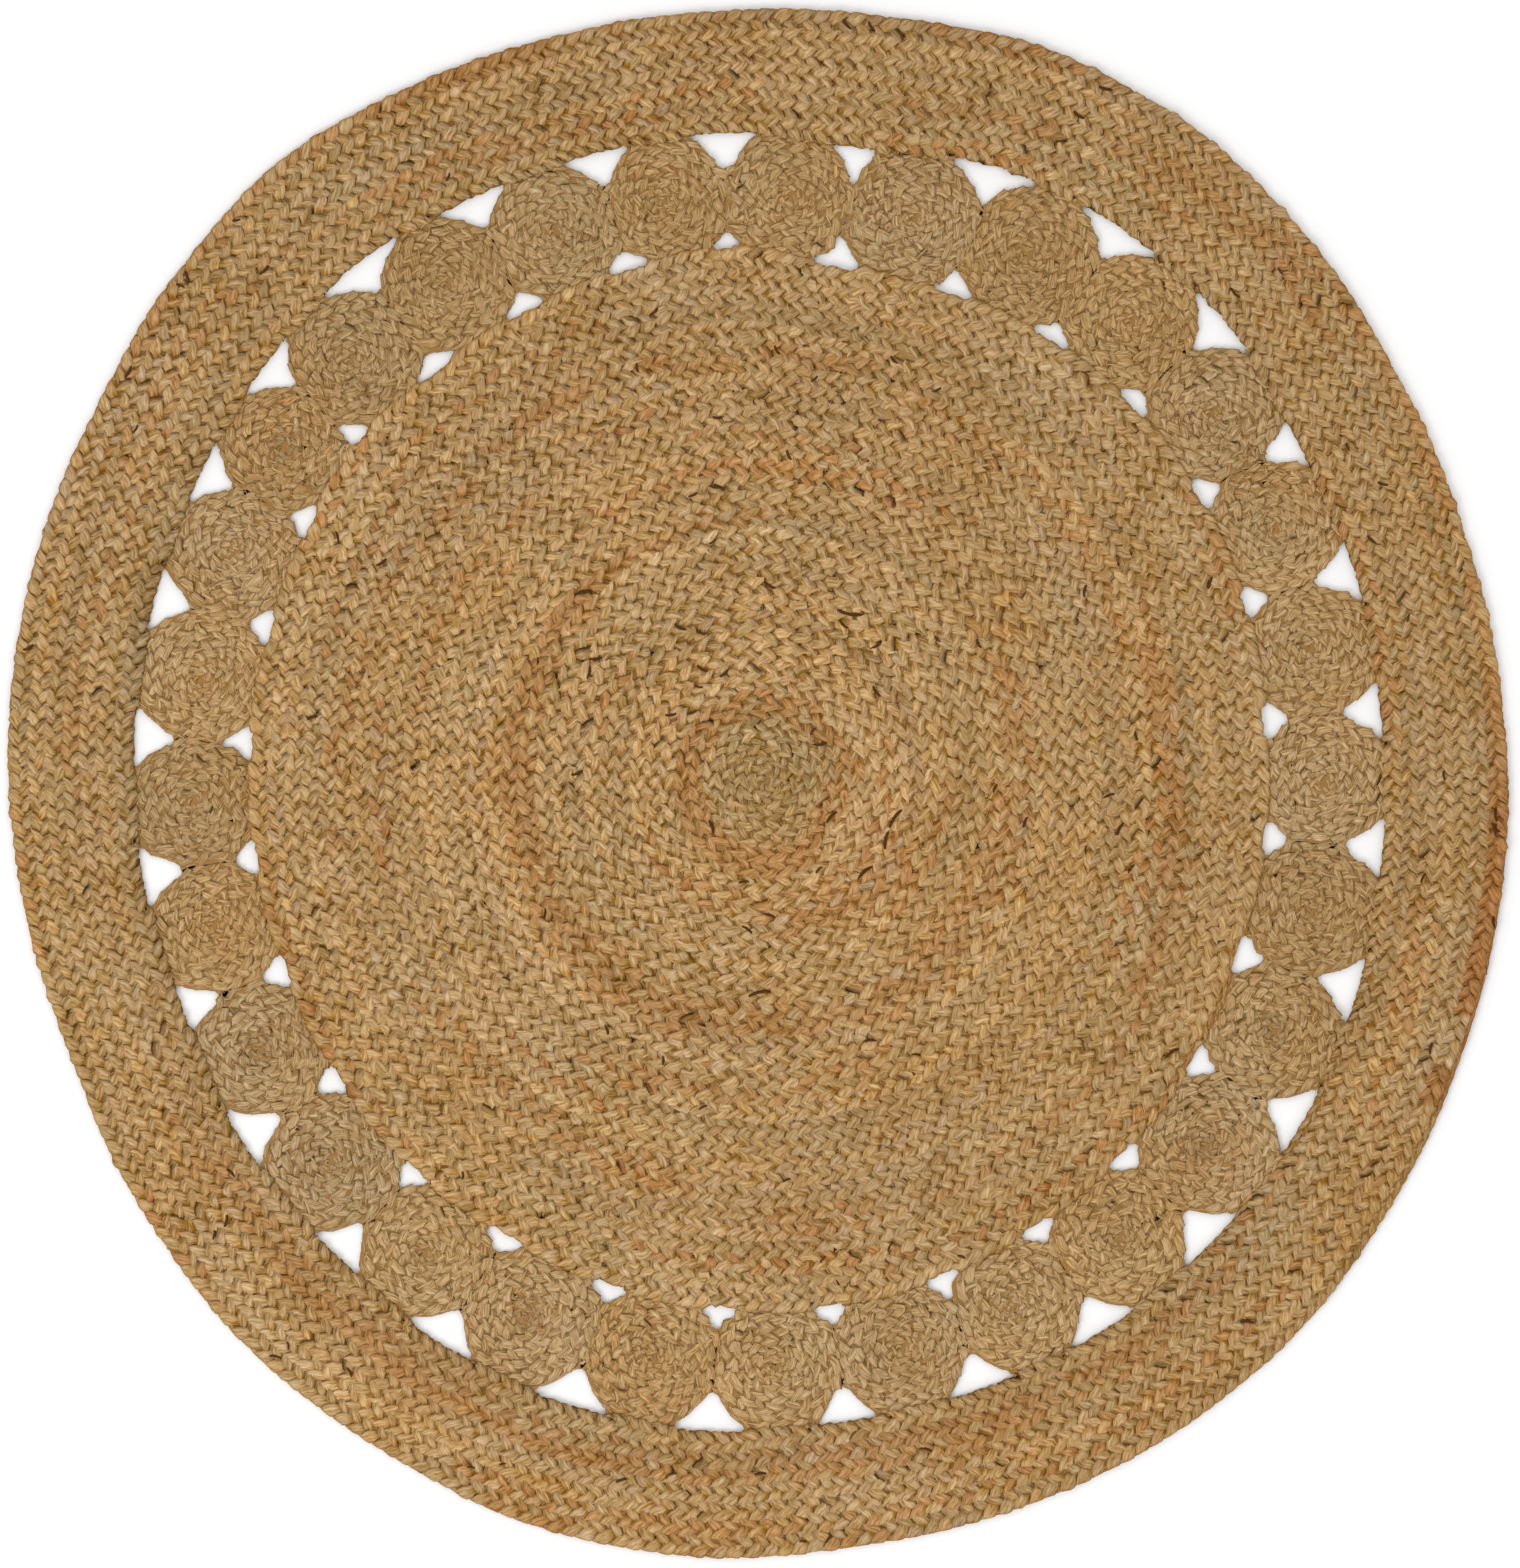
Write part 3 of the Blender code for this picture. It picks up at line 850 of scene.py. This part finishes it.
rim = ring_edges[abs(ring_edges) > between_edges]
inner = set_in(smooth_line(band_edge, EDGE_POINTS), all_medallion_edges, -SEWN_OVERLAP, GAP_INSET)
outer = smooth_line(moved_out(rim, -RIM_INSET), EDGE_POINTS)
band_braid = LaidBraid(
    inner,
    outer,
    band_share,
    BAND_TURNS,
    USUAL_BAND_ROW_WIDE,
    lambda line: np.full(len(line), BAND_REPEAT),
    rng,
)
band_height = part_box("outer_band")[1].z
inner_distance = abs(inner - ring_middle)
inner_bearing = np.degrees(np.angle(inner - ring_middle)) % 360
order = np.argsort(inner_bearing)
for number in range(3):
    strand = Strand(band_braid, COARSE_PLAIT, number, band_height, rng)
    bearing = np.degrees(np.angle(strand.middle - ring_middle)) % 360
    inner_there = np.interp(bearing, inner_bearing[order], inner_distance[order], period=360)
    out_mm = (abs(strand.middle - ring_middle) - inner_there) / MM
    shade = BAND_SHADE * np.interp(out_mm, RIM_FADES_MM, (1, RIM_SHADE))
    tones = bundle_tones(strand, rust_share(bearing, out_mm, BAND_RUST), rng) * shade[:, None]
    mesh = strand_mesh(f"band_strand_{number + 1}", [strand], [tones])
    mesh.materials.append(coarse_jute)
    piece = put_on_rug(mesh.name, mesh)
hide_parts("outer_band")
outer_seam_edge = moved_out(smooth_line(rim, SEAM_POINTS), -SEAM_INSET)
inner_seam_edge = moved_out(smooth_line(band_edge, SEAM_POINTS), SEAM_INSET)
band_seams = seam_sheet("band_seams", [outer_seam_edge, inner_seam_edge], SEAM_LOW, SEAM_HIGH)


# --- The shreds of bark --------------------------------------------------------------------------
# Thin, nearly black slivers that lie between the strands over a lozenge or so.
# Both ends go down into the braid.

SHRED_WIDE = 3.7 * MM
SHRED_THICK = 1.2 * MM
SHRED_DIP = 3.0 * MM  # how far its ends go down
SHRED_BEND = 0.1  # how far its middle bows out, over its length
SHRED_RISE = 0.1 * MM
SHRED_ENDS_MM = 5  # what of it is hidden at the ends
WIDEST_FROM_MM = 16  # a shorter shred is narrower too
STRAY_SHREDS_ON_DISC = 60
STRAY_SHREDS_ON_BAND = 45
STRAY_SHRED_MM = (5, 13)
STRAY_SHRED_TURN_DEG = 35  # off the braid's line, as a standard deviation
Shred = namedtuple("Shred", "x_mm y_mm long_mm bearing_deg")
DARKEST_SHREDS = [
    Shred(93, 171, 24, 170),
    Shred(0, -212, 23, 15),
    Shred(138, -36, 22, 55),
    Shred(129, -58, 20, 80),
    Shred(107, -90, 16, 40),
    Shred(11, 199, 14, 145),
    Shred(-174, 189, 16, 10),
    Shred(-56, 115, 10, 150),
]


def dark_sliver():
    """Dull and nearly black, with a brown grain."""
    material = bpy.data.materials.new("dark_sliver")
    material.use_nodes = True
    shader = material.node_tree.nodes["Principled BSDF"]
    shader.inputs["Roughness"].default_value = 0.7
    shader.inputs["Specular IOR Level"].default_value = 0.1
    place = add_node(material, "ShaderNodeTexCoord")
    grain = noise_over(material, place, 700.0, 2.0)
    brown = mixed_colour(material, grain, (0.030, 0.009, 0.001, 1), (0.115, 0.047, 0.008, 1))
    material.node_tree.links.new(brown, shader.inputs["Base Color"])
    return material


bm = bmesh.new()
shreds = list(DARKEST_SHREDS)
strays = [(disc_braid.line, STRAY_SHREDS_ON_DISC), (band_braid.line, STRAY_SHREDS_ON_BAND)]
for line, count in strays:
    first = len(line) // 6  # none shows nearer the eye
    for where in rng.integers(first, len(line) - 1, count):
        bearing_deg = np.degrees(np.angle(line[where + 1] - line[where]))
        bearing_deg += rng.normal(0, STRAY_SHRED_TURN_DEG)
        x_mm, y_mm = line[where].real / MM, line[where].imag / MM
        shreds.append(Shred(x_mm, y_mm, rng.uniform(*STRAY_SHRED_MM), bearing_deg))
for shred in shreds:
    long = (shred.long_mm + SHRED_ENDS_MM) * MM
    wide = SHRED_WIDE * min(shred.long_mm / WIDEST_FROM_MM, 1) ** 0.5
    made = bmesh.ops.create_uvsphere(bm, u_segments=5, v_segments=7, radius=0.5)["verts"]
    bmesh.ops.rotate(bm, verts=made, matrix=Matrix.Rotation(np.pi / 2, 3, "Y"))
    bmesh.ops.scale(bm, verts=made, vec=(long, wide, SHRED_THICK))
    for corner in made:
        part = 2 * corner.co.x / long
        corner.co.z -= SHRED_DIP * part**4
        corner.co.y += SHRED_BEND * long * (1 - part * part)
    turn = Matrix.Rotation(np.radians(shred.bearing_deg), 3, "Z")
    bmesh.ops.rotate(bm, verts=made, matrix=turn)
    place = (shred.x_mm * MM, shred.y_mm * MM, disc_height + SHRED_RISE)
    bmesh.ops.translate(bm, verts=made, vec=place)
mesh = bpy.data.meshes.new("dark_slivers")
bm.to_mesh(mesh)
bm.free()
mesh.shade_smooth()
mesh.materials.append(dark_sliver())
put_on_rug(mesh.name, mesh)


# --- The floor, the light and the camera ---------------------------------------------------------
# A plain pale floor under soft light from all round, with a weak key light from the lower left.

FLOOR_WHITE = 0.94
FLOOR_DROP = 0.5 * MM  # so that it doesn't touch the braid
DAYLIGHT = 0.97
KEY_WATTS = 36
KEY_WIDE = 1.8
KEY_PLACE = (-1.8, -1.9, 2.8)

floor_mesh = bpy.data.meshes.new("floor")
bm = bmesh.new()
bmesh.ops.create_grid(bm, x_segments=1, y_segments=1, size=6)
bmesh.ops.translate(bm, verts=bm.verts, vec=(0, 0, -FLOOR_DROP))
bm.to_mesh(floor_mesh)
bm.free()
floor = bpy.data.objects.new("floor", floor_mesh)
bpy.context.scene.collection.objects.link(floor)
pale = bpy.data.materials.new("pale_floor")
pale.use_nodes = True
shader = pale.node_tree.nodes["Principled BSDF"]
shader.inputs["Base Color"].default_value = (FLOOR_WHITE, FLOOR_WHITE, FLOOR_WHITE, 1)
shader.inputs["Roughness"].default_value = 0.9
floor_mesh.materials.append(pale)

studio = bpy.data.worlds.new("studio")
bpy.context.scene.world = studio
studio.use_nodes = True
background = studio.node_tree.nodes["Background"]
background.inputs["Color"].default_value = (1, 1, 1, 1)
background.inputs["Strength"].default_value = DAYLIGHT
key_light = bpy.data.lights.new("key", "AREA")
key_light.shape = "DISK"
key_light.size = KEY_WIDE
key_light.energy = KEY_WATTS
key = bpy.data.objects.new("key", key_light)
key.location = KEY_PLACE
key.rotation_euler = (-Vector(KEY_PLACE)).to_track_quat("-Z", "Y").to_euler()
bpy.context.scene.collection.objects.link(key)

# The photo looks straight down, and its height takes in this many metres.
CAMERA_HEIGHT = 6.0
PHOTO_HIGH = 1.568
PHOTO_MIDDLE = (0.0013, -0.0011)
SENSOR_MM = 24

camera_data = bpy.data.cameras.new("camera")
camera = bpy.data.objects.new("camera", camera_data)
bpy.context.scene.collection.objects.link(camera)
camera.location = (*PHOTO_MIDDLE, CAMERA_HEIGHT)
camera_data.sensor_fit = "VERTICAL"
camera_data.sensor_height = SENSOR_MM
camera_data.lens = SENSOR_MM * CAMERA_HEIGHT / PHOTO_HIGH
camera_data.clip_end = 50
bpy.context.scene.camera = camera
bpy.context.scene.view_settings.view_transform = "Standard"
